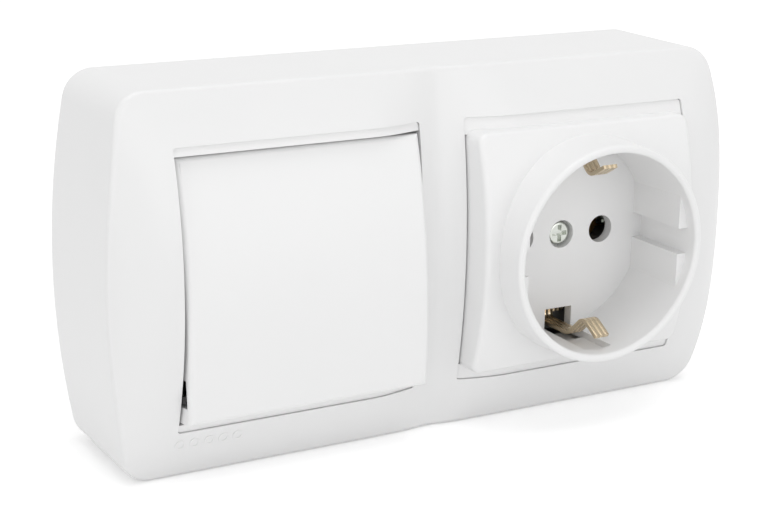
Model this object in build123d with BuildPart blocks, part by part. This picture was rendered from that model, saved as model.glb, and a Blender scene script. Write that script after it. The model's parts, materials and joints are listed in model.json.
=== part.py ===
from build123d import *
import os
from math import cos, pi, radians, sin, sqrt, tan

os.makedirs("parts", exist_ok=True)

# A surface-mounted wall box with a light switch on the left and an earthed socket on the right.
# Millimetres. X runs along the wall, Y into the wall and Z up. The origin is the middle of the
# back face, which lies on the wall, so a height above the wall is a distance towards -Y.

# Frame, outside
frame_width = 134.8
frame_height = 72.0
frame_back = 2.6
side_bow = 4.0
corner_radius = 6.0
frame_draft = 0.3
rim_height = 27.5
rim_radius = 1.0
crown_rise = 8.2
flank_rise = 2.8
flank_length = 12.0
flank_run_on = 1.8
valley_depth = 4.9
valley_half_width = 15.0
notch_depth = 0.6
notch_half_width = 6.0
section_step = 3.0
frame_wall = 2.0

# Five raised rings on the frame, under the rocker's left end
ring_count = 5
ring_spacing = 2.86
ring_first_x = -54.1
ring_drop = 28.75
ring_radius = 1.0
ring_line = 0.35
ring_relief = 0.12

# Module openings in the frame
module_pitch = 59.6
opening_width = 50.0
opening_height = 52.4
opening_radius = 0.6
well_wall = 1.6
ledge_height = 24.0
ledge_thickness = 1.6
ledge_reach = 2.0
insert_gap = 0.1
insert_sink = 0.45
flange_thickness = 1.2

# Rear base
base_thickness = 2.4
base_gap = 0.3
upstand_wall = 1.6
upstand_height = 9.0
boss_rise = 1.2
post_diameter = 7.5
post_height = 10.0
fixing_spread_x = 112.0
fixing_spread_z = 40.0
fixing_hole = 4.5
fixing_boss = 9.0
cable_hole = 14.0
cable_hole_rise = 19.0

# Mechanism bodies and their ears
body_size = 43.0
body_foot = 4.0
body_corner = 3.0
ear_width = 12.0
ear_reach = 9.0
ear_corner = 1.8
ear_thickness = 3.0
ear_hole = 3.4
ear_screw_rise = 26.5

# Switch bezel
strip_width = 1.5
bezel_side = 2.3
leg_gap = 0.3
leg_thickness = 1.3
leg_bottom = 17.0
latch_hook = 0.6
latch_height = 1.2
latch_depth = 0.5
latch_gap = 0.3

# Rocker, level
rocker_crown = 35.4
rocker_end_height = 33.0
rocker_half_length = 24.0
rocker_half_width = 24.7
rocker_front_half_width = 24.3
rocker_skin = 1.8
rocker_edge = 1.0
skirt_mid_height = 25.7
skirt_end_height = 28.3
rocker_notch_centre = 18.3
rocker_notch_length = 5.2
rocker_notch_front = 32.5

# Rocker pivot, cradle and plunger
switch_body_height = 21.0
pivot_height = 30.0
pivot_radius = 2.0
running_gap = 0.05
rest_tilt = 6.2
cheek_offset = 12.0
cheek_thickness = 2.0
cheek_wall = 1.1
cheek_foot = 6.0
cradle_half_width = 8.0
cradle_half_length = 12.0
cradle_rise = 1.4
pin_reach = 13.3
tube_radius = 3.5
tube_depth = 11.0
bore_rise = 1.0
plunger_radius = 2.1
plunger_reach = 17.1
plunger_top = 4.9
spring_radius = 1.5
spring_wire = 0.5
spring_pitch = 1.1
spring_turns = 3.9

# Switch contacts
pocket_floor = 7.0
pocket_gap = 0.4
strip_metal = 1.0
plate_corner = 1.0
well_half_width = 7.0
well_half_length = 13.0
contact_pivot_height = 12.0
contact_pivot_radius = 0.8
contact_ear_radius = 1.6
contact_tilt = 8.0
contact_half_length = 12.0
contact_half_width = 2.5
contact_metal = 0.8
contact_rivet_offset = 10.0
rivet_radius = 1.5
rivet_height = 0.8
rivet_gap = 0.2

# Clamp blocks
terminal_offset = 16.8
terminal_width = 5.5
terminal_length = 6.0
terminal_height = 9.0
wire_hole = 3.2

# Socket cover
mouth_height = 45.0
recess_depth = 17.5
recess_radius = 19.9
recess_draft = 0.5
mouth_land = 2.2
collar_radius = 21.5
collar_base_radius = 21.9
collar_foot = 32.0
lip_radius = 0.7
cup_wall = 1.6
cup_floor = 2.2
plateau_half_height = 24.1
plateau_corner = 2.5
plateau_draft = 2.0
plateau_crown = 38.4
plateau_end_height = 34.2
plateau_edge = 1.0
cover_skin = 1.8
cover_strip = 3.2
pin_spacing = 19.0
pin_hole = 5.6
screw_recess = 5.7
screw_recess_depth = 2.0
screw_gap = 0.2
boss_radius = 4.0
rib_chord = 17.6
rib_inner = 2.6
rib_outer = 9.6
rib_below_mouth = 2.6
window_half_width = 3.2
window_start = 15.4
window_groove = 1.0
window_below_mouth = 3.5
window_open_height = 32.0
window_overcut = 0.5

# Socket body and pin contacts
socket_body_height = 22.5
chamber_radius = 4.2
sleeve_radius = 3.7
sleeve_bore = 2.35
sleeve_slit = 0.9
sleeve_height = 14.0

# Earth bracket
strap_metal = 0.7
strap_half_width = 4.5
clip_half_width = 1.6
clip_root = 19.0
clip_root_height = 33.2
clip_apex = 14.4
clip_apex_depth = 6.9
clip_tip = 17.0
clip_tip_depth = 2.4
clip_apex_bend = 2.0
clip_tight_bend = 1.3
clip_wide_bend = 3.0
earth_screw_rise = 12.5

# Screws
centre_head_radius = 2.45
centre_head_height = 1.3
centre_shank_radius = 1.5
centre_shank_length = 16.0
nut_side = 5.5
nut_height = 2.4
nut_seat = 12.5
fixing_head_radius = 3.0
fixing_head_height = 2.0
fixing_shank_radius = 1.45
fixing_shank_length = 10.0
terminal_head_radius = 2.2
terminal_head_height = 1.6
terminal_shank_radius = 1.2
terminal_shank_length = 5.0
cross_width = 0.9
cross_depth = 0.8
cross_to_head = 1.4
head_rounding = 0.45

# Places worked out from the sizes above
switch_x = -module_pitch / 2
socket_x = module_pitch / 2
recess_floor = mouth_height - recess_depth
recess_floor_radius = recess_radius - (recess_depth - mouth_land) * tan(radians(recess_draft))
cup_back = recess_floor - cup_floor
centre_seat = recess_floor - screw_recess_depth
strap_top = socket_body_height + strap_metal
half_body = body_size / 2
leg_inner = half_body + leg_gap
insert_width = opening_width - 2 * insert_gap
insert_height = opening_height - 2 * insert_gap
pocket_reach = terminal_offset + terminal_length / 2 + pocket_gap
pocket_half_width = terminal_width / 2 + pocket_gap
wire_height = pocket_floor + strip_metal + terminal_height / 2
cheek_radius = pivot_radius + running_gap + cheek_wall
ear_offset = contact_half_width + strip_metal
beyond = 5.0
deep = mouth_height + beyond
flank_start = frame_width / 2 - flank_length
flank_drop = crown_rise - flank_rise
flank_curve = (flank_length**2 + flank_drop**2) / (2 * flank_drop)
rocker_axis = Axis((switch_x, -pivot_height, 0), (1, 0, 0))
contact_axis = Axis((switch_x, -contact_pivot_height, 0), (1, 0, 0))

# The fixed rivets end a rivet gap below the lowest point of the tipped ones
rivet_drop = (contact_rivet_offset + rivet_radius) * sin(radians(contact_tilt))
rivet_face = (contact_metal / 2 + rivet_height) * cos(radians(contact_tilt))
fixed_rivet_top = contact_pivot_height - rivet_drop - rivet_face - rivet_gap


def wall_plane(height):
    """A plane parallel to the wall, seen from the front, at a height above the wall."""
    return Plane.XZ.offset(height)


def at(x, height, z):
    """The place of a point given by its height above the wall."""
    return Location((x, -height, z))


def front_rise(x):
    """How far the front's crown stands above the rim at x: flat, with rolled ends and a valley."""
    rise = crown_rise
    past_start = min(abs(x) - flank_start, flank_length + flank_run_on)
    if past_start > 0:
        rise -= flank_curve - sqrt(flank_curve**2 - past_start**2)
    if abs(x) < valley_half_width:
        rise -= valley_depth * (1 + cos(pi * x / valley_half_width)) / 2
    return rise


def rim_notch(x):
    """How far the rim is set back in the middle of the long edges."""
    if abs(x) >= notch_half_width:
        return 0.0
    return notch_depth * (1 + cos(pi * x / notch_half_width)) / 2


def arc_height(crown, end, half_length, z):
    """Height at z of an arc that is crown high at z = 0 and end high at z = half_length."""
    rise = crown - end
    radius = (half_length**2 + rise**2) / (2 * rise)
    return crown - radius + sqrt(radius**2 - z**2)


def section_places():
    """Evenly spaced places of the front's sections, symmetrical and past both ends."""
    count = int(frame_width / 2 / section_step) + 1
    return [section_step * number for number in range(-count, count + 1)]


def arched_profile(crown, end, half_length, reach, back):
    """A side-view face from a flat back to an arched front that is carried on to z = reach."""
    side = arc_height(crown, end, half_length, reach)
    with BuildSketch() as profile:
        with BuildLine():
            ThreePointArc((-side, -reach), (-crown, 0), (-side, reach))
            Polyline((-side, reach), (-back, reach), (-back, -reach), (-side, -reach))
        make_face()
    return profile.sketch


def cushion(lowered):
    """The solid under the frame's bulged front, lowered by the given depth."""
    with BuildPart() as block:
        for x in section_places():
            rim = rim_height - lowered - rim_notch(x)
            crown = rim + front_rise(x)
            with BuildSketch(Plane.YZ.offset(x)):
                add(arched_profile(crown, rim, frame_height / 2, frame_height / 2 + beyond, -beyond))
        loft()
    return block.part


def frame_outline(inset):
    """The frame in front view at the wall: straight top and bottom, bowed ends, rounded corners."""
    half_width = frame_width / 2
    half_height = frame_height / 2
    corner_x = half_width - side_bow
    with BuildSketch() as outline:
        with BuildLine():
            ThreePointArc((corner_x, -half_height), (half_width, 0), (corner_x, half_height))
            Line((corner_x, half_height), (-corner_x, half_height))
            ThreePointArc((-corner_x, half_height), (-half_width, 0), (-corner_x, -half_height))
            Line((-corner_x, -half_height), (corner_x, -half_height))
        make_face()
        fillet(outline.vertices(), corner_radius)
        if inset:
            offset(amount=-inset)
    return outline.sketch


front_surface = cushion(0)
inner_surface = cushion(frame_wall)
insert_surface = cushion(insert_sink)
ring_surface = cushion(-ring_relief)
modules = [(switch_x, 0), (socket_x, 0)]

ring_places = [(ring_first_x + ring_spacing * number, -ring_drop) for number in range(ring_count)]

# The space inside the frame, without the two wells that carry the inserts
with BuildPart() as frame_cavity:
    with BuildSketch(Plane.XZ):
        add(frame_outline(frame_wall))
    extrude(amount=deep, taper=frame_draft)
    add(inner_surface, mode=Mode.INTERSECT)
    with BuildSketch(wall_plane(ledge_height - ledge_thickness)):
        with Locations(*modules):
            Rectangle(opening_width + 2 * well_wall, opening_height + 2 * well_wall)
    extrude(amount=deep, mode=Mode.SUBTRACT)

with BuildPart() as frame_rings:
    with BuildSketch(wall_plane(rim_height + frame_wall)):
        with Locations(*ring_places):
            Circle(ring_radius)
            Circle(ring_radius - ring_line, mode=Mode.SUBTRACT)
    extrude(amount=deep)
    add(ring_surface, mode=Mode.INTERSECT)

with BuildPart() as front_frame:
    with BuildSketch(wall_plane(frame_back)):
        add(frame_outline(0))
    extrude(amount=deep, taper=frame_draft)
    add(front_surface, mode=Mode.INTERSECT)
    rim_edges = front_frame.edges().filter_by(lambda edge: edge.center().Y < -rim_height + 2 * rim_radius)
    fillet(rim_edges, rim_radius)
    add(frame_rings.part)
    add(frame_cavity.part, mode=Mode.SUBTRACT)
    with BuildSketch(wall_plane(ledge_height)):
        with Locations(*modules):
            RectangleRounded(opening_width, opening_height, opening_radius)
    extrude(amount=deep, mode=Mode.SUBTRACT)
    with BuildSketch(Plane.XZ):
        with Locations(*modules):
            Rectangle(opening_width - 2 * ledge_reach, opening_height - 2 * ledge_reach)
    extrude(amount=deep, mode=Mode.SUBTRACT)

# Rear base: a plate with a low upstand, screw posts and bosses round the wall fixings
post_places = [(x, z) for x in (switch_x, socket_x) for z in (-ear_screw_rise, ear_screw_rise)]
with BuildPart() as rear_base:
    with BuildSketch(Plane.XZ):
        add(frame_outline(frame_wall + base_gap))
    extrude(amount=base_thickness, taper=frame_draft)
    with BuildSketch(wall_plane(base_thickness)):
        add(frame_outline(frame_wall + 2 * base_gap))
        add(frame_outline(frame_wall + 2 * base_gap + upstand_wall), mode=Mode.SUBTRACT)
    extrude(amount=upstand_height - base_thickness)
    with BuildSketch(wall_plane(base_thickness)):
        with Locations(*post_places):
            Circle(post_diameter / 2)
    extrude(amount=post_height - base_thickness)
    with BuildSketch(wall_plane(base_thickness)):
        with GridLocations(fixing_spread_x, fixing_spread_z, 2, 2):
            Circle(fixing_boss / 2)
        with Locations((0, cable_hole_rise)):
            Circle(cable_hole / 2 + upstand_wall)
    extrude(amount=boss_rise)
    with BuildSketch(Plane.XZ):
        with GridLocations(fixing_spread_x, fixing_spread_z, 2, 2):
            Circle(fixing_hole / 2)
        with Locations((0, cable_hole_rise)):
            Circle(cable_hole / 2)
    extrude(amount=post_height, mode=Mode.SUBTRACT)
    with BuildSketch(wall_plane(base_thickness / 2)):
        with Locations(*post_places):
            Circle(fixing_shank_radius)
    extrude(amount=post_height, mode=Mode.SUBTRACT)


def mechanism_block(centre_x, top):
    """A mechanism body before its pockets: a rounded block with a screw ear above and below."""
    with BuildPart() as block:
        with BuildSketch(wall_plane(body_foot)):
            with Locations((centre_x, 0)):
                RectangleRounded(body_size, body_size, body_corner)
        extrude(amount=top - body_foot)
        with BuildSketch(wall_plane(post_height)):
            with Locations((centre_x, 0)):
                RectangleRounded(ear_width, body_size + 2 * ear_reach, ear_corner)
        extrude(amount=ear_thickness)
        with BuildSketch(wall_plane(post_height)):
            with Locations((centre_x, -ear_screw_rise), (centre_x, ear_screw_rise)):
                Circle(ear_hole / 2)
        extrude(amount=ear_thickness, mode=Mode.SUBTRACT)
    return block.part


def crossed_screw(head_radius, head_height, shank_radius, shank_length):
    """A cross-head screw: its head's underside is at the wall plane, its shank points into the wall."""
    with BuildPart() as screw:
        with BuildSketch(Plane.XY):
            Rectangle(head_radius, head_height, align=(Align.MIN, Align.MAX))
            Rectangle(shank_radius, shank_length, align=(Align.MIN, Align.MIN))
        revolve(axis=Axis.Y)
        crown = screw.edges().filter_by(GeomType.CIRCLE).sort_by(Axis.Y)[0]
        fillet(crown, head_height * head_rounding)
        with BuildSketch(wall_plane(head_height)):
            Rectangle(cross_width, head_radius * cross_to_head)
            Rectangle(head_radius * cross_to_head, cross_width)
        extrude(amount=-cross_depth, mode=Mode.SUBTRACT)
    return screw.part


def terminal(centre_x, direction, rise, inner_end):
    """A flat conductor on the pocket floor that ends in a clamp block, left or right of the middle."""
    block_x = centre_x + direction * terminal_offset
    strip_end = centre_x + direction * inner_end
    with BuildPart() as piece:
        with BuildSketch(wall_plane(pocket_floor)):
            with Locations(((block_x + strip_end) / 2, rise)):
                Rectangle(abs(block_x - strip_end), terminal_width)
        extrude(amount=strip_metal)
        with BuildSketch(wall_plane(pocket_floor)):
            with Locations((block_x, rise)):
                Rectangle(terminal_length, terminal_width)
        extrude(amount=strip_metal + terminal_height)
        with BuildSketch(Plane.YZ.offset(block_x - terminal_length / 2)):
            with Locations((-wire_height, rise)):
                Circle(wire_hole / 2)
        extrude(amount=terminal_length, mode=Mode.SUBTRACT)
        with BuildSketch(wall_plane(wire_height)):
            with Locations((block_x, rise)):
                Circle(terminal_shank_radius)
        extrude(amount=terminal_height, mode=Mode.SUBTRACT)
    return piece.part


def wire_entry(centre_x, direction, rise):
    """The hole that lets a wire through a mechanism body's side wall to its clamp block."""
    with BuildPart() as hole:
        with BuildSketch(Plane.YZ.offset(centre_x + direction * terminal_offset)):
            with Locations((-wire_height, rise)):
                Circle(wire_hole / 2 + pocket_gap)
        extrude(amount=direction * half_body)
    return hole.part


# Switch body: pockets for the contacts, and two cheeks that carry the rocker's pivot
rivet_rises = (-contact_rivet_offset, contact_rivet_offset)
latch_level = leg_bottom - latch_gap
with BuildPart() as switch_body:
    add(mechanism_block(switch_x, switch_body_height))
    with BuildSketch(wall_plane(pocket_floor)):
        with Locations((switch_x, 0)):
            Rectangle(2 * well_half_width, 2 * well_half_length)
            Rectangle(pocket_reach, 2 * pocket_half_width, align=(Align.MIN, Align.CENTER))
        with Locations([(switch_x, rise) for rise in rivet_rises]):
            Rectangle(pocket_reach, 2 * pocket_half_width, align=(Align.MAX, Align.CENTER))
    extrude(amount=switch_body_height - pocket_floor, mode=Mode.SUBTRACT)
    add(wire_entry(switch_x, 1, 0), mode=Mode.SUBTRACT)
    for rise in rivet_rises:
        add(wire_entry(switch_x, -1, rise), mode=Mode.SUBTRACT)
    with BuildSketch(wall_plane(latch_level)):
        with Locations((switch_x, half_body), (switch_x, -half_body)):
            Rectangle(ear_width + 2 * latch_gap, 2 * latch_depth)
    extrude(amount=latch_height + 2 * latch_gap, mode=Mode.SUBTRACT)
    for side in (-1, 1):
        with BuildSketch(Plane.YZ.offset(switch_x + side * cheek_offset - cheek_thickness / 2)):
            with BuildLine():
                Polyline(
                    (-switch_body_height, -cheek_foot),
                    (-pivot_height, -cheek_radius),
                    (-pivot_height, cheek_radius),
                    (-switch_body_height, cheek_foot),
                    close=True,
                )
            make_face()
            with Locations((-pivot_height, 0)):
                Circle(cheek_radius)
                Circle(pivot_radius + running_gap, mode=Mode.SUBTRACT)
        extrude(amount=cheek_thickness)

# Switch terminals: the common one has two ears that carry the contact plate's pins
with BuildPart() as common_terminal:
    add(terminal(switch_x, 1, 0, -contact_half_width - 2 * strip_metal))
    for side in (-1, 1):
        with BuildSketch(Plane.YZ.offset(switch_x + side * ear_offset - strip_metal / 2)):
            with Locations((-(pocket_floor + contact_pivot_height) / 2, 0)):
                Rectangle(contact_pivot_height - pocket_floor, 2 * contact_ear_radius)
            with Locations((-contact_pivot_height, 0)):
                Circle(contact_ear_radius)
                Circle(contact_pivot_radius + running_gap, mode=Mode.SUBTRACT)
        extrude(amount=strip_metal)
with BuildPart() as upper_terminal:
    add(terminal(switch_x, -1, contact_rivet_offset, -rivet_radius - strip_metal))
with BuildPart() as lower_terminal:
    add(terminal(switch_x, -1, -contact_rivet_offset, -rivet_radius - strip_metal))

# Contact plate and its rivets, level, then tipped to their rest side about the plate's pins
with BuildPart() as moving_contact:
    with BuildSketch(wall_plane(contact_pivot_height - contact_metal / 2)):
        with Locations((switch_x, 0)):
            RectangleRounded(2 * contact_half_width, 2 * contact_half_length, plate_corner)
    extrude(amount=contact_metal)
    with BuildSketch(Plane.YZ.offset(switch_x - ear_offset - strip_metal)):
        with Locations((-contact_pivot_height, 0)):
            Circle(contact_pivot_radius)
    extrude(amount=2 * (ear_offset + strip_metal))
moving_contact.part = moving_contact.part.rotate(contact_axis, contact_tilt)

with BuildPart() as moving_rivets:
    with BuildSketch(wall_plane(contact_pivot_height - contact_metal / 2)):
        with Locations([(switch_x, rise) for rise in rivet_rises]):
            Circle(rivet_radius)
    extrude(amount=-rivet_height)
moving_rivets.part = moving_rivets.part.rotate(contact_axis, contact_tilt)

with BuildPart() as fixed_rivets:
    with BuildSketch(wall_plane(pocket_floor + strip_metal)):
        with Locations([(switch_x, rise) for rise in rivet_rises]):
            Circle(rivet_radius)
    extrude(amount=fixed_rivet_top - pocket_floor - strip_metal)

# Switch bezel: a flange on the frame's ledge, the strips seen above and below the rocker, two latches
with BuildPart() as switch_bezel:
    with BuildSketch(wall_plane(ledge_height)):
        with Locations((switch_x, 0)):
            RectangleRounded(insert_width, insert_height, opening_radius)
            Rectangle(insert_width - 2 * bezel_side, 2 * leg_inner, mode=Mode.SUBTRACT)
    extrude(amount=flange_thickness)
    with BuildSketch(wall_plane(ledge_height)):
        with Locations((switch_x, 0)):
            RectangleRounded(insert_width, insert_height, opening_radius)
            Rectangle(insert_width, insert_height - 2 * strip_width, mode=Mode.SUBTRACT)
    extrude(amount=deep - ledge_height)
    add(insert_surface, mode=Mode.INTERSECT)
    with BuildSketch(wall_plane(leg_bottom)):
        for side in (-1, 1):
            with Locations((switch_x, side * (leg_inner + leg_thickness / 2))):
                Rectangle(ear_width, leg_thickness)
    extrude(amount=ledge_height + flange_thickness - leg_bottom)
    with BuildSketch(wall_plane(leg_bottom)):
        for side in (-1, 1):
            with Locations((switch_x, side * (leg_inner - latch_hook / 2))):
                Rectangle(ear_width, latch_hook)
    extrude(amount=latch_height)


def rocker_profile():
    """Side view of the rocker, level: an arched front, two ends and a V-shaped back edge."""
    with BuildSketch() as profile:
        with BuildLine():
            ThreePointArc(
                (-rocker_end_height, -rocker_half_length),
                (-rocker_crown, 0),
                (-rocker_end_height, rocker_half_length),
            )
            Polyline(
                (-rocker_end_height, rocker_half_length),
                (-skirt_end_height, rocker_half_length),
                (-skirt_mid_height, 0),
                (-skirt_end_height, -rocker_half_length),
                (-rocker_end_height, -rocker_half_length),
            )
        make_face()
    return profile.sketch


# The space under the rocker's skin
rocker_space_half = rocker_half_length - rocker_skin
space_crown = rocker_crown - rocker_skin
space_end = arc_height(rocker_crown, rocker_end_height, rocker_half_length, rocker_space_half) - rocker_skin
with BuildPart() as rocker_space:
    with BuildSketch(Plane.YZ.offset(switch_x - rocker_front_half_width + rocker_skin)):
        add(arched_profile(space_crown, space_end, rocker_space_half, rocker_space_half, ledge_height))
    extrude(amount=2 * (rocker_front_half_width - rocker_skin))

with BuildPart() as rocker:
    with BuildSketch(Plane.YZ.offset(switch_x - rocker_half_width)):
        add(rocker_profile())
    extrude(amount=2 * rocker_half_width)
    with BuildSketch(Plane.XY.offset(-rocker_half_length)):
        with BuildLine():
            Polyline(
                (switch_x - rocker_half_width, -skirt_mid_height),
                (switch_x + rocker_half_width, -skirt_mid_height),
                (switch_x + rocker_front_half_width, -rocker_crown),
                (switch_x - rocker_front_half_width, -rocker_crown),
                close=True,
            )
        make_face()
    extrude(amount=2 * rocker_half_length, mode=Mode.INTERSECT)
    front_edges = rocker.edges().filter_by(lambda edge: edge.center().Y < -rocker_end_height + rocker_edge)
    fillet(front_edges, rocker_edge)
    add(rocker_space.part, mode=Mode.SUBTRACT)
    with BuildSketch(wall_plane(ledge_height)):
        with Locations((switch_x - rocker_front_half_width + rocker_skin, -rocker_notch_centre)):
            Rectangle(rocker_skin + beyond, rocker_notch_length, align=(Align.MAX, Align.CENTER))
    extrude(amount=rocker_notch_front - ledge_height, mode=Mode.SUBTRACT)
rocker.part = rocker.part.rotate(rocker_axis, -rest_tilt)

# Rocker cradle: a plate under the skin, a cross block with the two pins, and the plunger's tube
with BuildPart() as rocker_cradle:
    with BuildSketch(wall_plane(pivot_height + cradle_rise)):
        with Locations((switch_x, 0)):
            RectangleRounded(2 * cradle_half_width, 2 * cradle_half_length, plate_corner)
    extrude(amount=deep)
    with BuildSketch(wall_plane(pivot_height)):
        with Locations((switch_x, 0)):
            Rectangle(2 * cradle_half_width, 2 * pivot_radius)
    extrude(amount=deep)
    add(rocker_space.part, mode=Mode.INTERSECT)
    with BuildSketch(Plane.YZ.offset(switch_x - pin_reach)):
        with Locations((-pivot_height, 0)):
            Circle(pivot_radius)
    extrude(amount=2 * pin_reach)
    with BuildSketch(wall_plane(pivot_height - tube_depth)):
        with Locations((switch_x, 0)):
            Circle(tube_radius)
    extrude(amount=tube_depth + cradle_rise)
    with BuildSketch(wall_plane(pivot_height - tube_depth)):
        with Locations((switch_x, 0)):
            Circle(plunger_radius + running_gap)
    extrude(amount=tube_depth + bore_rise, mode=Mode.SUBTRACT)
rocker_cradle.part = rocker_cradle.part.rotate(rocker_axis, -rest_tilt)

# Plunger: a pin with a round nose that presses on the contact plate
with BuildPart() as plunger:
    with BuildSketch(Plane.XY):
        with BuildLine():
            nose_tip = (switch_x, plunger_reach - pivot_height)
            nose_side = (switch_x + plunger_radius, plunger_reach - plunger_radius - pivot_height)
            top_side = (switch_x + plunger_radius, plunger_top - pivot_height)
            RadiusArc(nose_tip, nose_side, plunger_radius)
            Polyline(nose_side, top_side, (switch_x, plunger_top - pivot_height), nose_tip)
        make_face()
    revolve(axis=Axis((switch_x, 0, 0), (0, 1, 0)))
plunger.part = plunger.part.rotate(rocker_axis, -rest_tilt)

# Plunger spring, at its compressed length
with BuildPart() as plunger_spring:
    with BuildLine():
        coil = Helix(
            pitch=spring_pitch,
            height=spring_pitch * spring_turns,
            radius=spring_radius,
            center=(switch_x, -pivot_height - bore_rise + spring_wire / 2, 0),
            direction=(0, 1, 0),
        )
    with BuildSketch(Plane(origin=coil @ 0, z_dir=coil % 0)):
        Circle(spring_wire / 2)
    sweep(path=coil, is_frenet=True)
plunger_spring.part = plunger_spring.part.rotate(rocker_axis, -rest_tilt)


def plateau(skin):
    """The socket cover's raised block, or with a skin thickness the space inside it."""
    foot_half_width = insert_width / 2 - skin
    foot_half_height = plateau_half_height - skin
    with BuildPart() as block:
        with BuildSketch(wall_plane(ledge_height)):
            with Locations((socket_x, 0)):
                RectangleRounded(2 * foot_half_width, 2 * foot_half_height, plateau_corner)
        extrude(amount=deep - ledge_height, taper=plateau_draft)
        with BuildSketch(Plane.YZ.offset(socket_x - foot_half_width)):
            crown = plateau_crown - skin
            end = plateau_end_height - skin
            add(arched_profile(crown, end, plateau_half_height, foot_half_height, 0))
        extrude(amount=2 * foot_half_width, mode=Mode.INTERSECT)
        if not skin:
            rounded_from = plateau_edge - plateau_end_height
            top_edges = block.edges().filter_by(lambda edge: edge.center().Y < rounded_from)
            fillet(top_edges, plateau_edge)
    return block.part


# Socket cover: flange and strips on the frame's ledge, raised block, collar and round recess
window_centre = (window_start + recess_radius + window_groove) / 2
window_length = recess_radius + window_groove - window_start
rib_reach = recess_radius + cup_wall / 2
with BuildPart() as socket_cover:
    with BuildSketch(wall_plane(ledge_height)):
        with Locations((socket_x, 0)):
            RectangleRounded(insert_width, insert_height, opening_radius)
            Rectangle(insert_width, insert_height - 2 * cover_strip, mode=Mode.SUBTRACT)
    extrude(amount=deep - ledge_height)
    add(insert_surface, mode=Mode.INTERSECT)
    with BuildSketch(wall_plane(ledge_height)):
        with Locations((socket_x, 0)):
            RectangleRounded(insert_width, insert_height, opening_radius)
    extrude(amount=flange_thickness)
    add(plateau(0))
    add(plateau(cover_skin), mode=Mode.SUBTRACT)
    with BuildSketch(Plane.XZ):
        with Locations((socket_x, 0)):
            Circle(rib_reach)
    extrude(amount=deep, mode=Mode.SUBTRACT)
    with BuildSketch(Plane.XY) as cup_profile:
        with BuildLine():
            Polyline(
                (socket_x, -cup_back),
                (socket_x + recess_radius + cup_wall, -cup_back),
                (socket_x + recess_radius + cup_wall, -collar_foot),
                (socket_x + collar_base_radius, -collar_foot),
                (socket_x + collar_radius, -mouth_height),
                (socket_x + recess_radius, -mouth_height),
                (socket_x + recess_radius, -(mouth_height - mouth_land)),
                (socket_x + recess_floor_radius, -recess_floor),
                (socket_x, -recess_floor),
                close=True,
            )
        make_face()
        fillet(cup_profile.vertices().group_by(Axis.Y)[0], lip_radius)
    revolve(axis=Axis((socket_x, 0, 0), (0, 1, 0)))
    with BuildSketch(wall_plane(recess_floor)):
        for side_x in (-1, 1):
            for side_z in (-1, 1):
                rib_centre_x = socket_x + side_x * (rib_chord + rib_reach) / 2
                with Locations((rib_centre_x, side_z * (rib_inner + rib_outer) / 2)):
                    Rectangle(rib_reach - rib_chord, rib_outer - rib_inner)
        with Locations((socket_x, 0)):
            Circle(rib_reach, mode=Mode.INTERSECT)
    extrude(amount=recess_depth - rib_below_mouth)
    with BuildSketch(wall_plane(strap_top)):
        with Locations((socket_x, 0)):
            Circle(boss_radius)
    extrude(amount=cup_back - strap_top)
    with BuildSketch(wall_plane(cup_back)):
        for side in (-1, 1):
            with Locations((socket_x, side * window_centre)):
                Rectangle(2 * window_half_width, window_length)
    extrude(amount=mouth_height - window_below_mouth - cup_back, mode=Mode.SUBTRACT)
    with BuildSketch(wall_plane(cup_back)):
        with Locations((socket_x, 0)):
            Rectangle(2 * window_half_width, 2 * (recess_radius + cup_wall + window_overcut))
            Circle(recess_radius, mode=Mode.SUBTRACT)
    extrude(amount=window_open_height - cup_back, mode=Mode.SUBTRACT)
    with BuildSketch(wall_plane(cup_back)):
        with Locations((socket_x - pin_spacing / 2, 0), (socket_x + pin_spacing / 2, 0)):
            Circle(pin_hole / 2)
    extrude(amount=cup_floor, mode=Mode.SUBTRACT)
    with BuildSketch(wall_plane(centre_seat)):
        with Locations((socket_x, 0)):
            Circle(screw_recess / 2)
    extrude(amount=screw_recess_depth, mode=Mode.SUBTRACT)
    with BuildSketch(wall_plane(strap_top)):
        with Locations((socket_x, 0)):
            Circle(centre_shank_radius + screw_gap)
    extrude(amount=screw_recess_depth + cup_back, mode=Mode.SUBTRACT)

# Socket body: chambers for the pin contacts, and pockets for the earth clamp and the nut
pin_places = [(socket_x - pin_spacing / 2, 0), (socket_x + pin_spacing / 2, 0)]
earth_wire_height = socket_body_height - terminal_height / 2
with BuildPart() as socket_body:
    add(mechanism_block(socket_x, socket_body_height))
    with BuildSketch(wall_plane(pocket_floor)):
        with Locations(*pin_places):
            Circle(chamber_radius)
        for side in (-1, 1):
            outer = pocket_reach - pin_spacing / 2
            with Locations((socket_x + side * (pin_spacing / 2 + outer / 2), 0)):
                Rectangle(outer, 2 * pocket_half_width)
    extrude(amount=socket_body_height - pocket_floor, mode=Mode.SUBTRACT)
    for side in (-1, 1):
        add(wire_entry(socket_x, side, 0), mode=Mode.SUBTRACT)
    with BuildSketch(wall_plane(socket_body_height - terminal_height)):
        with Locations((socket_x, earth_screw_rise)):
            Rectangle(terminal_length + 2 * pocket_gap, terminal_width + 2 * pocket_gap)
    extrude(amount=terminal_height, mode=Mode.SUBTRACT)
    with BuildSketch(Plane.XY.offset(earth_screw_rise)):
        with Locations((socket_x, -earth_wire_height)):
            Circle(wire_hole / 2 + pocket_gap)
    extrude(amount=half_body, mode=Mode.SUBTRACT)
    with BuildSketch(wall_plane(body_foot)):
        with Locations((socket_x, 0)):
            Rectangle(nut_side + screw_gap, nut_side + screw_gap)
    extrude(amount=nut_seat - body_foot, mode=Mode.SUBTRACT)
    with BuildSketch(wall_plane(nut_seat)):
        with Locations((socket_x, 0)):
            Circle(centre_shank_radius + screw_gap)
    extrude(amount=socket_body_height, mode=Mode.SUBTRACT)


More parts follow.
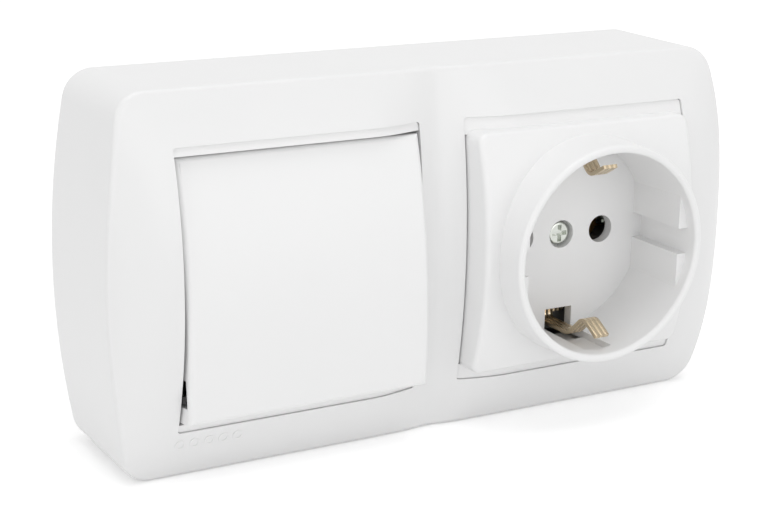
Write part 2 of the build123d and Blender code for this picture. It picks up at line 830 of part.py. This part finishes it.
def pin_contact(direction):
    """A slit sleeve that grips a plug's pin, on a conductor that ends in a clamp block."""
    sleeve_x = socket_x + direction * pin_spacing / 2
    with BuildPart() as piece:
        add(terminal(socket_x, direction, 0, pin_spacing / 2))
        with BuildSketch(wall_plane(pocket_floor)):
            with Locations((sleeve_x, 0)):
                Circle(sleeve_radius)
        extrude(amount=sleeve_height)
        with BuildSketch(wall_plane(pocket_floor + strip_metal)):
            with Locations((sleeve_x, 0)):
                Circle(sleeve_bore)
        extrude(amount=sleeve_height, mode=Mode.SUBTRACT)
        with BuildSketch(wall_plane(pocket_floor + 2 * strip_metal)):
            with Locations((sleeve_x, 0)):
                Rectangle(sleeve_slit, 2 * sleeve_radius + beyond)
        extrude(amount=sleeve_height, mode=Mode.SUBTRACT)
    return piece.part


with BuildPart() as live_contact:
    add(pin_contact(1))
with BuildPart() as neutral_contact:
    add(pin_contact(-1))

# Earth bracket: a strap over the socket body, bent forward at both ends into the two spring clips
strap_level = socket_body_height + strap_metal / 2
clip_side = [
    (-strap_level, clip_root),
    (-clip_root_height, clip_root),
    (-(mouth_height - clip_apex_depth), clip_apex),
    (-(mouth_height - clip_tip_depth), clip_tip),
]
clip_bends = [clip_apex_bend, clip_wide_bend, clip_tight_bend]
with BuildPart() as earth_bracket:
    with BuildSketch(Plane.YZ.offset(socket_x - clip_half_width)):
        with BuildLine():
            lower_side = [(height, -z) for height, z in reversed(clip_side)]
            FilletPolyline(*lower_side, *clip_side, radius=clip_bends + clip_bends[::-1])
        trace(line_width=strap_metal)
    extrude(amount=2 * clip_half_width)
    with BuildSketch(wall_plane(socket_body_height)):
        with Locations((socket_x, 0)):
            RectangleRounded(2 * strap_half_width, 2 * (clip_root - clip_tight_bend), plate_corner)
    extrude(amount=strap_metal)
    with BuildSketch(wall_plane(socket_body_height)):
        with Locations((socket_x, 0)):
            Circle(centre_shank_radius + screw_gap)
        with Locations((socket_x, earth_screw_rise)):
            Circle(terminal_shank_radius)
    extrude(amount=strap_metal, mode=Mode.SUBTRACT)

with BuildPart() as earth_clamp:
    with BuildSketch(wall_plane(socket_body_height - terminal_height)):
        with Locations((socket_x, earth_screw_rise)):
            Rectangle(terminal_length, terminal_width)
    extrude(amount=terminal_height)
    with BuildSketch(Plane.XY.offset(earth_screw_rise - terminal_width / 2)):
        with Locations((socket_x, -earth_wire_height)):
            Circle(wire_hole / 2)
    extrude(amount=terminal_width, mode=Mode.SUBTRACT)
    with BuildSketch(wall_plane(earth_wire_height)):
        with Locations((socket_x, earth_screw_rise)):
            Circle(terminal_shank_radius)
    extrude(amount=terminal_height, mode=Mode.SUBTRACT)

# Centre screw and the nut that it draws against
with BuildPart() as centre_screw:
    add(crossed_screw(centre_head_radius, centre_head_height, centre_shank_radius, centre_shank_length))
centre_screw.part = centre_screw.part.moved(at(socket_x, centre_seat, 0))

with BuildPart() as centre_nut:
    with BuildSketch(wall_plane(nut_seat - nut_height)):
        with Locations((socket_x, 0)):
            Rectangle(nut_side, nut_side)
            Circle(centre_shank_radius, mode=Mode.SUBTRACT)
    extrude(amount=nut_height)


def screw_group(head_radius, head_height, shank_radius, shank_length, places):
    """Like screws at several places, as one group of separate solids."""
    screw = crossed_screw(head_radius, head_height, shank_radius, shank_length)
    with BuildPart() as group:
        for place in places:
            add(screw.moved(place))
    return group


fixing_seat = post_height + ear_thickness
ear_rises = (-ear_screw_rise, ear_screw_rise)
fixing_size = (fixing_head_radius, fixing_head_height, fixing_shank_radius, fixing_shank_length)
switch_fixing_screws = screw_group(*fixing_size, [at(switch_x, fixing_seat, z) for z in ear_rises])
socket_fixing_screws = screw_group(*fixing_size, [at(socket_x, fixing_seat, z) for z in ear_rises])

terminal_top = pocket_floor + strip_metal + terminal_height
terminal_size = (terminal_head_radius, terminal_head_height, terminal_shank_radius, terminal_shank_length)
switch_places = [at(switch_x + terminal_offset, terminal_top, 0)]
switch_places += [at(switch_x - terminal_offset, terminal_top, rise) for rise in rivet_rises]
switch_terminal_screws = screw_group(*terminal_size, switch_places)
socket_places = [at(socket_x + side * terminal_offset, terminal_top, 0) for side in (-1, 1)]
socket_places += [at(socket_x, strap_top, earth_screw_rise)]
socket_terminal_screws = screw_group(*terminal_size, socket_places)

pieces = {
    "front_frame": front_frame,
    "rear_base": rear_base,
    "switch_body": switch_body,
    "switch_bezel": switch_bezel,
    "rocker": rocker,
    "rocker_cradle": rocker_cradle,
    "plunger": plunger,
    "plunger_spring": plunger_spring,
    "moving_contact": moving_contact,
    "moving_rivets": moving_rivets,
    "fixed_rivets": fixed_rivets,
    "common_terminal": common_terminal,
    "upper_terminal": upper_terminal,
    "lower_terminal": lower_terminal,
    "switch_terminal_screws": switch_terminal_screws,
    "switch_fixing_screws": switch_fixing_screws,
    "socket_cover": socket_cover,
    "socket_body": socket_body,
    "live_contact": live_contact,
    "neutral_contact": neutral_contact,
    "earth_bracket": earth_bracket,
    "earth_clamp": earth_clamp,
    "centre_screw": centre_screw,
    "centre_nut": centre_nut,
    "socket_terminal_screws": socket_terminal_screws,
    "socket_fixing_screws": socket_fixing_screws,
}
for name, piece in pieces.items():
    piece.part.label = name
    export_step(piece.part, f"parts/{name}.step")
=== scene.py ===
import json
import math

import bpy
from mathutils import Matrix, Vector


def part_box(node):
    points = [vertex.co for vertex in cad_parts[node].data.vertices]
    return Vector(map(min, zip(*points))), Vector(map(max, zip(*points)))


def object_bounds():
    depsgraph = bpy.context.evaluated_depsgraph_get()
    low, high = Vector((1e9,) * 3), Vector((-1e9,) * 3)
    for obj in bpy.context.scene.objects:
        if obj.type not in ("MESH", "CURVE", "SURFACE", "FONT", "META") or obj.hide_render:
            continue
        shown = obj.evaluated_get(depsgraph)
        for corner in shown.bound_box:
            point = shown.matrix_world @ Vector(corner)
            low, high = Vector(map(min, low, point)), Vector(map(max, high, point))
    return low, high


# A white surface-mounted wall unit: a rocker light switch on the left and an earthed socket on the
# right, in one bulged frame. Metres, with X along the wall, Y into the wall and Z up.

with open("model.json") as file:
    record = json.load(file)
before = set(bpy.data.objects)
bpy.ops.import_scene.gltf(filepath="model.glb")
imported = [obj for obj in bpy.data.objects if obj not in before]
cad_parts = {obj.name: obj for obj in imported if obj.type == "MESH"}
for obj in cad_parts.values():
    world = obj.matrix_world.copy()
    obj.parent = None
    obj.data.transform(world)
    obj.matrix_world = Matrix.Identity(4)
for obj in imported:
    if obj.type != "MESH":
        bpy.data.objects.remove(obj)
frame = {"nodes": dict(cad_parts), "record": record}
nodes = frame["nodes"]
solid_low, solid_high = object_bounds()

# Camera, in the photograph's frame of 759 by 505 pixels
EYE = Vector((-0.16664, -0.30521, 0.09137))
TURN_RIGHT = math.radians(29.54)
TIP_DOWN = math.radians(15.62)
ROLL = math.radians(0.95)
LENS_MM = 83.13
SENSOR_MM = 36.0
SHIFT_X = -0.0154
SHIFT_Y = -0.0074
NEAREST = 0.01

# Light of the dome on the object; the camera sees the dome white
DOME = 0.64

# Soft square panels that face the middle of the back: place, width in metres and power in watts
PANELS = {
    "top panel": ((0.0, -0.15, 1.5), 1.0, 7.0),
    "left panel": ((-1.35, -0.9, 0.3), 1.6, 5.6),
    "front panel": ((0.4, -1.6, 0.2), 1.2, 5.3),
}
PANEL_TARGET = (0.0, 0.0, 0.0)

# Floor, with the glow that lifts it to white where it is seen
FLOOR_HALF_WIDTH = 1.5
FLOOR_GREY = (0.9, 0.9, 0.9)
FLOOR_ROUGHNESS = 0.9
FLOOR_LIFT = 0.3

# Colours, linear
WHITE = (1.0, 1.0, 1.0)
FRAME_WHITE = (0.83, 0.83, 0.83)
INSERT_WHITE = (0.85, 0.85, 0.85)
BASE_WHITE = (0.76, 0.76, 0.75)
MECHANISM_GREY = (0.11, 0.11, 0.105)
NYLON = (0.62, 0.6, 0.55)
BRASS = (0.72, 0.5, 0.22)
SPRING_BRASS = (0.82, 0.68, 0.48)
SILVER = (0.8, 0.8, 0.78)
SPRING_STEEL = (0.52, 0.52, 0.52)
ZINC = (0.58, 0.6, 0.56)

# Scale of the moulded surface, in cycles to the metre
CLOUD_SCALE = 55.0
RIPPLE_SCALE = 120.0
SHEEN_PATCH_SCALE = 240.0
GRAIN_SCALE = 1600.0

# Scale of the metal surfaces, in cycles to the metre, and stretch of the streaks along each axis
STAIN_SCALE = 420.0
TARNISH_SCALE = 700.0
STREAK_SCALE = 900.0
NO_STREAK = (1.0, 1.0, 1.0)
STRIP_STREAK = (1.0, 0.12, 0.12)
SCREW_STREAK = (1.0, 0.3, 1.0)

# Ribs rolled into the earth clips
RIB_PITCH = 0.0011
RIB_HEIGHT = 0.00016

# Strength of each relief
MOULDED_RELIEF = 0.35
METAL_RELIEF = 0.4
RIB_RELIEF = 0.7

# Bending of light in moulded plastic
PLASTIC_IOR = 1.5

# What each surface group gives
SURFACE_OUTPUTS = (
    ("Colour", "NodeSocketColor"),
    ("Roughness", "NodeSocketFloat"),
    ("Height", "NodeSocketFloat"),
)


def socket_value(node, name, value):
    """Sets one named input of a shader node."""
    node.inputs[name].default_value = value


def colour(rgb):
    """A colour with full alpha."""
    return (*rgb, 1.0)


def new_group(name, inputs):
    """An empty surface group with named inputs; returns the tree and its two end nodes."""
    tree = bpy.data.node_groups.new(name, "ShaderNodeTree")
    for label, kind, value in inputs:
        item = tree.interface.new_socket(label, in_out="INPUT", socket_type=kind)
        item.default_value = value
    for label, kind in SURFACE_OUTPUTS:
        tree.interface.new_socket(label, in_out="OUTPUT", socket_type=kind)
    start = tree.nodes.new("NodeGroupInput")
    end = tree.nodes.new("NodeGroupOutput")
    return tree, start, end


def noise(tree, vector, scale, detail, roughness=0.5):
    """A noise texture on a vector; scale is a number or a socket."""
    node = tree.nodes.new("ShaderNodeTexNoise")
    tree.links.new(vector, node.inputs["Vector"])
    if isinstance(scale, (int, float)):
        socket_value(node, "Scale", scale)
    else:
        tree.links.new(scale, node.inputs["Scale"])
    socket_value(node, "Detail", detail)
    socket_value(node, "Roughness", roughness)
    return node.outputs["Fac"]


def math_node(tree, operation, first, second=None, third=None):
    """A Math node whose inputs are numbers or sockets."""
    node = tree.nodes.new("ShaderNodeMath")
    node.operation = operation
    for place, value in enumerate((first, second, third)):
        if value is None:
            continue
        if isinstance(value, (int, float)):
            node.inputs[place].default_value = value
        else:
            tree.links.new(value, node.inputs[place])
    return node.outputs[0]


def centred(tree, value):
    """A value between nought and one, moved to lie about nought."""
    return math_node(tree, "SUBTRACT", value, 0.5)


def scaled_colour(tree, base, factor):
    """A colour socket multiplied by a value socket."""
    node = tree.nodes.new("ShaderNodeVectorMath")
    node.operation = "SCALE"
    tree.links.new(base, node.inputs[0])
    tree.links.new(factor, node.inputs["Scale"])
    return node.outputs[0]


def give_surface(tree, start, end, shade, dull, height):
    """Shades the group's colour and joins the three results to its outputs."""
    shaded = scaled_colour(tree, start.outputs["Colour"], shade)
    tree.links.new(shaded, end.inputs["Colour"])
    tree.links.new(dull, end.inputs["Roughness"])
    tree.links.new(height, end.inputs["Height"])


def build_moulded_skin():
    """Moulded plastic: faint flow clouds in the colour, a fine eroded grain and a soft ripple."""
    tree, start, end = new_group(
        "moulded skin",
        [
            ("Colour", "NodeSocketColor", (0.8, 0.8, 0.8, 1.0)),
            ("Cloud", "NodeSocketFloat", 0.02),
            ("Roughness", "NodeSocketFloat", 0.3),
            ("Roughness Spread", "NodeSocketFloat", 0.03),
            ("Grain Scale", "NodeSocketFloat", GRAIN_SCALE),
            ("Grain", "NodeSocketFloat", 0.02),
            ("Ripple", "NodeSocketFloat", 0.3),
        ],
    )
    given = start.outputs
    place = tree.nodes.new("ShaderNodeTexCoord").outputs["Object"]
    clouds = centred(tree, noise(tree, place, CLOUD_SCALE, 3.0))
    shade = math_node(tree, "MULTIPLY_ADD", clouds, given["Cloud"], 1.0)
    patches = centred(tree, noise(tree, place, SHEEN_PATCH_SCALE, 4.0))
    dull = math_node(tree, "MULTIPLY_ADD", patches, given["Roughness Spread"], given["Roughness"])
    grain = noise(tree, place, given["Grain Scale"], 2.0, 0.6)
    ripple = math_node(tree, "MULTIPLY", noise(tree, place, RIPPLE_SCALE, 1.0), given["Ripple"])
    height = math_node(tree, "MULTIPLY_ADD", grain, given["Grain"], ripple)
    give_surface(tree, start, end, shade, dull, height)
    return tree


def build_worked_metal():
    """Stamped or turned metal: streaks along one axis, darker stains and a fine scratch height."""
    tree, start, end = new_group(
        "worked metal",
        [
            ("Colour", "NodeSocketColor", (0.7, 0.5, 0.3, 1.0)),
            ("Stain", "NodeSocketFloat", 0.2),
            ("Roughness", "NodeSocketFloat", 0.3),
            ("Roughness Spread", "NodeSocketFloat", 0.15),
            ("Streak", "NodeSocketVector", NO_STREAK),
        ],
    )
    given = start.outputs
    place = tree.nodes.new("ShaderNodeTexCoord").outputs["Object"]
    stretch = tree.nodes.new("ShaderNodeVectorMath")
    stretch.operation = "MULTIPLY"
    tree.links.new(place, stretch.inputs[0])
    tree.links.new(given["Streak"], stretch.inputs[1])
    streaks = noise(tree, stretch.outputs[0], STREAK_SCALE, 4.0, 0.65)
    stains = centred(tree, noise(tree, place, STAIN_SCALE, 5.0, 0.6))
    shade = math_node(tree, "MULTIPLY_ADD", stains, given["Stain"], 1.0)
    spread = centred(tree, streaks)
    dull = math_node(tree, "MULTIPLY_ADD", spread, given["Roughness Spread"], given["Roughness"])
    give_surface(tree, start, end, shade, dull, streaks)
    return tree


def build_ribbed_strip():
    """Rolled spring strip: fine ribs along it, side by side, with painted shade darkening the
    grooves and random brown stains.
    """
    tree, start, end = new_group(
        "ribbed strip",
        [
            ("Colour", "NodeSocketColor", (0.8, 0.6, 0.4, 1.0)),
            ("Roughness", "NodeSocketFloat", 0.25),
            ("Groove Roughness", "NodeSocketFloat", 0.2),
            ("Groove Shade And Tarnish", "NodeSocketFloat", 0.32),
            ("Stain", "NodeSocketFloat", 0.4),
            ("Middle", "NodeSocketFloat", 0.0),
            ("Rib Pitch", "NodeSocketFloat", RIB_PITCH),
        ],
    )
    given = start.outputs
    place = tree.nodes.new("ShaderNodeTexCoord").outputs["Object"]
    across = tree.nodes.new("ShaderNodeSeparateXYZ")
    tree.links.new(place, across.inputs[0])
    offset = math_node(tree, "SUBTRACT", across.outputs["X"], given["Middle"])
    turns = math_node(tree, "DIVIDE", offset, given["Rib Pitch"])
    wave = math_node(tree, "COSINE", math_node(tree, "MULTIPLY", turns, 2 * math.pi))
    rib = math_node(tree, "MULTIPLY_ADD", wave, 0.5, 0.5)
    # Painted shade: the colour darkens in the grooves between the ribs, where shade falls, with
    # random brown stains mixed in
    groove = math_node(tree, "SUBTRACT", 1.0, math_node(tree, "POWER", rib, 0.6))
    stains = centred(tree, noise(tree, place, TARNISH_SCALE, 4.0, 0.6))
    stains_and_groove_shade = math_node(tree, "MULTIPLY_ADD", stains, given["Stain"], groove)
    groove_shade_and_tarnish = math_node(tree, "MULTIPLY", stains_and_groove_shade, given["Groove Shade And Tarnish"])
    shade = math_node(tree, "SUBTRACT", 1.0, groove_shade_and_tarnish)
    dull = math_node(tree, "MULTIPLY_ADD", groove, given["Groove Roughness"], given["Roughness"])
    give_surface(tree, start, end, shade, dull, rib)
    return tree


moulded_skin = build_moulded_skin()
worked_metal = build_worked_metal()
ribbed_strip = build_ribbed_strip()


def new_material(name, group, settings, relief_strength, relief_depth):
    """A material whose shader takes its colour, roughness and relief from a placed group."""
    material = bpy.data.materials.new(name)
    material.use_nodes = True
    tree = material.node_tree
    shader = tree.nodes["Principled BSDF"]
    skin = tree.nodes.new("ShaderNodeGroup")
    skin.node_tree = group
    for label, value in settings.items():
        socket_value(skin, label, value)
    tree.links.new(skin.outputs["Colour"], shader.inputs["Base Color"])
    tree.links.new(skin.outputs["Roughness"], shader.inputs["Roughness"])
    relief = tree.nodes.new("ShaderNodeBump")
    tree.links.new(skin.outputs["Height"], relief.inputs["Height"])
    tree.links.new(relief.outputs["Normal"], shader.inputs["Normal"])
    socket_value(relief, "Strength", relief_strength)
    socket_value(relief, "Distance", relief_depth)
    return material, shader


def moulded_plastic(name, rgb, roughness, relief_depth, cloud=0.02):
    """A moulded thermoplastic in one colour."""
    settings = {"Colour": colour(rgb), "Roughness": roughness, "Cloud": cloud}
    material, shader = new_material(name, moulded_skin, settings, MOULDED_RELIEF, relief_depth)
    socket_value(shader, "IOR", PLASTIC_IOR)
    return material


def bare_metal(name, rgb, roughness, streak, stain=0.2, relief_depth=0.00002):
    """A bare or plated metal in one colour."""
    settings = {"Colour": colour(rgb), "Roughness": roughness, "Stain": stain, "Streak": streak}
    material, shader = new_material(name, worked_metal, settings, METAL_RELIEF, relief_depth)
    socket_value(shader, "Metallic", 1.0)
    return material


def ribbed_metal(name, rgb, roughness, middle):
    """A spring strip with ribs side by side about its middle line."""
    settings = {"Colour": colour(rgb), "Roughness": roughness, "Middle": middle}
    material, shader = new_material(name, ribbed_strip, settings, RIB_RELIEF, RIB_HEIGHT)
    socket_value(shader, "Metallic", 1.0)
    return material


strap_low, strap_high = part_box("earth_bracket")
strap_middle = (strap_low[0] + strap_high[0]) / 2

finishes = {
    "frame_white": moulded_plastic(
        "frame white", FRAME_WHITE, roughness=0.34, relief_depth=0.00002
    ),
    "insert_white": moulded_plastic(
        "insert white", INSERT_WHITE, roughness=0.31, relief_depth=0.000015
    ),
    "base_white": moulded_plastic(
        "base white", BASE_WHITE, roughness=0.5, relief_depth=0.00005
    ),
    "mechanism_grey": moulded_plastic(
        "mechanism grey", MECHANISM_GREY, roughness=0.55, relief_depth=0.00005, cloud=0.08
    ),
    "cradle_nylon": moulded_plastic(
        "cradle nylon", NYLON, roughness=0.45, relief_depth=0.00004, cloud=0.05
    ),
    "contact_brass": bare_metal("stamped brass", BRASS, roughness=0.32, streak=STRIP_STREAK),
    "earth_brass": ribbed_metal("spring brass", SPRING_BRASS, roughness=0.24, middle=strap_middle),
    "contact_silver": bare_metal(
        "silver rivet", SILVER, roughness=0.25, streak=NO_STREAK, stain=0.1
    ),
    "spring_steel": bare_metal("spring wire", SPRING_STEEL, roughness=0.3, streak=NO_STREAK),
    "zinc_steel": bare_metal("zinc plate", ZINC, roughness=0.2, streak=SCREW_STREAK, stain=0.5),
}
slot_of = {part["node"]: part["material_slot"] for part in frame["record"]["subparts"]}


def dress(obj, material):
    """Gives a whole object one material."""
    obj.data.materials.clear()
    obj.data.materials.append(material)


def pose_camera():
    """Places the camera as the photograph was taken."""
    data = bpy.data.cameras.new("photo camera")
    data.lens = LENS_MM
    data.sensor_width = SENSOR_MM
    data.shift_x = SHIFT_X
    data.shift_y = SHIFT_Y
    data.clip_start = NEAREST
    camera = bpy.data.objects.new("photo camera", data)
    bpy.context.scene.collection.objects.link(camera)
    aim = Matrix.Rotation(-TURN_RIGHT, 4, "Z")
    aim = aim @ Matrix.Rotation(math.radians(90) - TIP_DOWN, 4, "X")
    aim = aim @ Matrix.Rotation(ROLL, 4, "Z")
    camera.matrix_world = Matrix.Translation(EYE) @ aim
    bpy.context.scene.camera = camera


def seen_directly(tree):
    """One for rays from the camera, off a gloss or through glass, nought for light on the object."""
    path = tree.nodes.new("ShaderNodeLightPath")
    looks = math_node(tree, "MAXIMUM", path.outputs["Is Camera Ray"], path.outputs["Is Glossy Ray"])
    return math_node(tree, "MAXIMUM", looks, path.outputs["Is Transmission Ray"])


def add_floor():
    """A pale floor at the object's foot, seen as white, that keeps the object's shadow."""
    half = FLOOR_HALF_WIDTH
    height = solid_low.z
    corners = [(x * half, y * half, height) for x, y in ((-1, -1), (1, -1), (1, 1), (-1, 1))]
    mesh = bpy.data.meshes.new("floor")
    mesh.from_pydata(corners, [], [(0, 1, 2, 3)])
    floor = bpy.data.objects.new("floor", mesh)
    bpy.context.scene.collection.objects.link(floor)
    material = bpy.data.materials.new("pale floor")
    material.use_nodes = True
    tree = material.node_tree
    shader = tree.nodes["Principled BSDF"]
    socket_value(shader, "Base Color", colour(FLOOR_GREY))
    socket_value(shader, "Roughness", FLOOR_ROUGHNESS)
    socket_value(shader, "Emission Color", colour(WHITE))
    lift = math_node(tree, "MULTIPLY", seen_directly(tree), FLOOR_LIFT)
    tree.links.new(lift, shader.inputs["Emission Strength"])
    dress(floor, material)


def add_panel_light(name, place, size, power):
    """A square soft light that faces the object."""
    data = bpy.data.lights.new(name, "AREA")
    data.shape = "SQUARE"
    data.size = size
    data.energy = power
    light = bpy.data.objects.new(name, data)
    bpy.context.scene.collection.objects.link(light)
    light.location = place
    facing = Vector(PANEL_TARGET) - Vector(place)
    light.rotation_euler = facing.to_track_quat("-Z", "Y").to_euler()


def light_studio():
    """A pale dome that shows white, with soft panels above, to the left and in front."""
    world = bpy.data.worlds.new("studio")
    bpy.context.scene.world = world
    world.use_nodes = True
    tree = world.node_tree
    background = tree.nodes["Background"]
    level = math_node(tree, "MULTIPLY_ADD", seen_directly(tree), 1.0 - DOME, DOME)
    tree.links.new(level, background.inputs["Strength"])
    socket_value(background, "Color", colour(WHITE))
    for name, (place, size, power) in PANELS.items():
        add_panel_light(name, place, size, power)


for name, node in nodes.items():
    dress(node, finishes[slot_of[name]])

pose_camera()
add_floor()
light_studio()
bpy.context.scene.view_settings.view_transform = "Standard"
